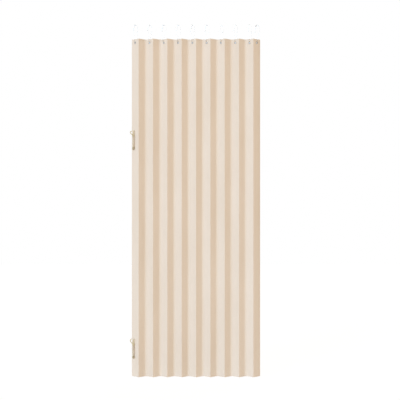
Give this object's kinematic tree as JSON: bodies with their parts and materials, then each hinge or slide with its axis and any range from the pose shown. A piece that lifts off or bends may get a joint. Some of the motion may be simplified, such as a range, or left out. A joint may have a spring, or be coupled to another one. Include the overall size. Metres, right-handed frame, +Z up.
{
  "type": "pleated fabric accordion door",
  "caption": "Pleated fabric accordion door: one cloth of pressed panels that folds at its creases, hung from a rod by open snap hooks, with cord ties at its leading edge.",
  "frame": {"origin": "the place where the rod bears on the inside of the first hook's arch", "axes": "+X along the rod from the leading edge with the ties to the last panel, -Y out of the front, +Z up"},
  "size_m": [0.7741, 0.0466, 2.0849],
  "materials": {
    "cloth": "matte woven",
    "clear_plastic": "clear moulded",
    "eyelet_metal": "satin",
    "tie_cord": "twisted cord"
  },
  "bodies": {
    "hook_01": {"hook_01": "clear_plastic"},
    "panel_01": {"pleat_panel_01": "cloth", "eyelet_01": "eyelet_metal", "upper_tie_eyelet": "eyelet_metal", "upper_tie_loop": "tie_cord", "upper_tie_left_strand": "tie_cord", "upper_tie_right_strand": "tie_cord", "upper_tie_end_knot": "tie_cord", "lower_tie_eyelet": "eyelet_metal", "lower_tie_loop": "tie_cord", "lower_tie_left_strand": "tie_cord", "lower_tie_right_strand": "tie_cord", "lower_tie_end_knot": "tie_cord"},
    "panel_02": {"pleat_panel_02": "cloth"},
    "panel_03": {"pleat_panel_03": "cloth", "eyelet_02": "eyelet_metal"},
    "panel_04": {"pleat_panel_04": "cloth"},
    "panel_05": {"pleat_panel_05": "cloth", "eyelet_03": "eyelet_metal"},
    "panel_06": {"pleat_panel_06": "cloth"},
    "panel_07": {"pleat_panel_07": "cloth", "eyelet_04": "eyelet_metal"},
    "panel_08": {"pleat_panel_08": "cloth"},
    "panel_09": {"pleat_panel_09": "cloth", "eyelet_05": "eyelet_metal"},
    "panel_10": {"pleat_panel_10": "cloth"},
    "panel_11": {"pleat_panel_11": "cloth", "eyelet_06": "eyelet_metal"},
    "panel_12": {"pleat_panel_12": "cloth"},
    "panel_13": {"pleat_panel_13": "cloth", "eyelet_07": "eyelet_metal"},
    "panel_14": {"pleat_panel_14": "cloth"},
    "panel_15": {"pleat_panel_15": "cloth", "eyelet_08": "eyelet_metal"},
    "panel_16": {"pleat_panel_16": "cloth"},
    "panel_17": {"pleat_panel_17": "cloth", "eyelet_09": "eyelet_metal"},
    "panel_18": {"pleat_panel_18": "cloth", "eyelet_10": "eyelet_metal"},
    "hook_02": {"hook_02": "clear_plastic"},
    "hook_03": {"hook_03": "clear_plastic"},
    "hook_04": {"hook_04": "clear_plastic"},
    "hook_05": {"hook_05": "clear_plastic"},
    "hook_06": {"hook_06": "clear_plastic"},
    "hook_07": {"hook_07": "clear_plastic"},
    "hook_08": {"hook_08": "clear_plastic"},
    "hook_09": {"hook_09": "clear_plastic"},
    "hook_10": {"hook_10": "clear_plastic"}
  },
  "joints": [
    {"name": "fold", "type": "hinge", "parent": "hook_01", "child": "panel_01", "pos_m": [0, 0, -0.1012], "axis": [0, 0, -1], "range_deg": [-20, 25]},
    {"name": "crease_01", "type": "hinge", "parent": "panel_01", "child": "panel_02", "pos_m": [0.02117, -0.01802, -1.0789], "axis": [0, 0, 1], "range_deg": [-40, 50]},
    {"name": "crease_02", "type": "hinge", "parent": "panel_02", "child": "panel_03", "pos_m": [0.06351, 0.01802, -1.0789], "axis": [0, 0, -1], "range_deg": [-40, 50]},
    {"name": "crease_03", "type": "hinge", "parent": "panel_03", "child": "panel_04", "pos_m": [0.10585, -0.01802, -1.0789], "axis": [0, 0, 1], "range_deg": [-40, 50]},
    {"name": "crease_04", "type": "hinge", "parent": "panel_04", "child": "panel_05", "pos_m": [0.14819, 0.01802, -1.0789], "axis": [0, 0, -1], "range_deg": [-40, 50]},
    {"name": "crease_05", "type": "hinge", "parent": "panel_05", "child": "panel_06", "pos_m": [0.19054, -0.01802, -1.0789], "axis": [0, 0, 1], "range_deg": [-40, 50]},
    {"name": "crease_06", "type": "hinge", "parent": "panel_06", "child": "panel_07", "pos_m": [0.23288, 0.01802, -1.0789], "axis": [0, 0, -1], "range_deg": [-40, 50]},
    {"name": "crease_07", "type": "hinge", "parent": "panel_07", "child": "panel_08", "pos_m": [0.27522, -0.01802, -1.0789], "axis": [0, 0, 1], "range_deg": [-40, 50]},
    {"name": "crease_08", "type": "hinge", "parent": "panel_08", "child": "panel_09", "pos_m": [0.31756, 0.01802, -1.0789], "axis": [0, 0, -1], "range_deg": [-40, 50]},
    {"name": "crease_09", "type": "hinge", "parent": "panel_09", "child": "panel_10", "pos_m": [0.3599, -0.01802, -1.0789], "axis": [0, 0, 1], "range_deg": [-40, 50]},
    {"name": "crease_10", "type": "hinge", "parent": "panel_10", "child": "panel_11", "pos_m": [0.40225, 0.01802, -1.0789], "axis": [0, 0, -1], "range_deg": [-40, 50]},
    {"name": "crease_11", "type": "hinge", "parent": "panel_11", "child": "panel_12", "pos_m": [0.44459, -0.01802, -1.0789], "axis": [0, 0, 1], "range_deg": [-40, 50]},
    {"name": "crease_12", "type": "hinge", "parent": "panel_12", "child": "panel_13", "pos_m": [0.48693, 0.01802, -1.0789], "axis": [0, 0, -1], "range_deg": [-40, 50]},
    {"name": "crease_13", "type": "hinge", "parent": "panel_13", "child": "panel_14", "pos_m": [0.52927, -0.01802, -1.0789], "axis": [0, 0, 1], "range_deg": [-40, 50]},
    {"name": "crease_14", "type": "hinge", "parent": "panel_14", "child": "panel_15", "pos_m": [0.57161, 0.01802, -1.0789], "axis": [0, 0, -1], "range_deg": [-40, 50]},
    {"name": "crease_15", "type": "hinge", "parent": "panel_15", "child": "panel_16", "pos_m": [0.61395, -0.01802, -1.0789], "axis": [0, 0, 1], "range_deg": [-40, 50]},
    {"name": "crease_16", "type": "hinge", "parent": "panel_16", "child": "panel_17", "pos_m": [0.65629, 0.01802, -1.0789], "axis": [0, 0, -1], "range_deg": [-40, 50]},
    {"name": "crease_17", "type": "hinge", "parent": "panel_17", "child": "panel_18", "pos_m": [0.69864, -0.01802, -1.0789], "axis": [0, 0, 1], "range_deg": [-40, 50]},
    {"name": "hook_turn_02", "type": "hinge", "parent": "panel_03", "child": "hook_02", "pos_m": [0.08468, 0, -0.1012], "axis": [0, 0, 1], "range_deg": [-26.4, 33]},
    {"name": "hook_turn_03", "type": "hinge", "parent": "panel_05", "child": "hook_03", "pos_m": [0.16937, 0, -0.1012], "axis": [0, 0, 1], "range_deg": [-26.4, 33]},
    {"name": "hook_turn_04", "type": "hinge", "parent": "panel_07", "child": "hook_04", "pos_m": [0.25405, 0, -0.1012], "axis": [0, 0, 1], "range_deg": [-26.4, 33]},
    {"name": "hook_turn_05", "type": "hinge", "parent": "panel_09", "child": "hook_05", "pos_m": [0.33873, 0, -0.1012], "axis": [0, 0, 1], "range_deg": [-26.4, 33]},
    {"name": "hook_turn_06", "type": "hinge", "parent": "panel_11", "child": "hook_06", "pos_m": [0.42341, 0, -0.1012], "axis": [0, 0, 1], "range_deg": [-26.4, 33]},
    {"name": "hook_turn_07", "type": "hinge", "parent": "panel_13", "child": "hook_07", "pos_m": [0.5081, 0, -0.1012], "axis": [0, 0, 1], "range_deg": [-26.4, 33]},
    {"name": "hook_turn_08", "type": "hinge", "parent": "panel_15", "child": "hook_08", "pos_m": [0.59278, 0, -0.1012], "axis": [0, 0, 1], "range_deg": [-26.4, 33]},
    {"name": "hook_turn_09", "type": "hinge", "parent": "panel_17", "child": "hook_09", "pos_m": [0.67746, 0, -0.1012], "axis": [0, 0, 1], "range_deg": [-26.4, 33]},
    {"name": "hook_turn_10", "type": "hinge", "parent": "panel_18", "child": "hook_10", "pos_m": [0.71981, 0, -0.1012], "axis": [0, 0, -1], "range_deg": [-26.4, 33]}
  ],
  "couplings": [
    {"joint": "crease_01", "follows": "fold", "ratio": 2},
    {"joint": "crease_02", "follows": "fold", "ratio": 2},
    {"joint": "crease_03", "follows": "fold", "ratio": 2},
    {"joint": "crease_04", "follows": "fold", "ratio": 2},
    {"joint": "crease_05", "follows": "fold", "ratio": 2},
    {"joint": "crease_06", "follows": "fold", "ratio": 2},
    {"joint": "crease_07", "follows": "fold", "ratio": 2},
    {"joint": "crease_08", "follows": "fold", "ratio": 2},
    {"joint": "crease_09", "follows": "fold", "ratio": 2},
    {"joint": "crease_10", "follows": "fold", "ratio": 2},
    {"joint": "crease_11", "follows": "fold", "ratio": 2},
    {"joint": "crease_12", "follows": "fold", "ratio": 2},
    {"joint": "crease_13", "follows": "fold", "ratio": 2},
    {"joint": "crease_14", "follows": "fold", "ratio": 2},
    {"joint": "crease_15", "follows": "fold", "ratio": 2},
    {"joint": "crease_16", "follows": "fold", "ratio": 2},
    {"joint": "crease_17", "follows": "fold", "ratio": 2},
    {"joint": "hook_turn_02", "follows": "fold", "ratio": 1.32},
    {"joint": "hook_turn_03", "follows": "fold", "ratio": 1.32},
    {"joint": "hook_turn_04", "follows": "fold", "ratio": 1.32},
    {"joint": "hook_turn_05", "follows": "fold", "ratio": 1.32},
    {"joint": "hook_turn_06", "follows": "fold", "ratio": 1.32},
    {"joint": "hook_turn_07", "follows": "fold", "ratio": 1.32},
    {"joint": "hook_turn_08", "follows": "fold", "ratio": 1.32},
    {"joint": "hook_turn_09", "follows": "fold", "ratio": 1.32},
    {"joint": "hook_turn_10", "follows": "fold", "ratio": 1.32}
  ]
}
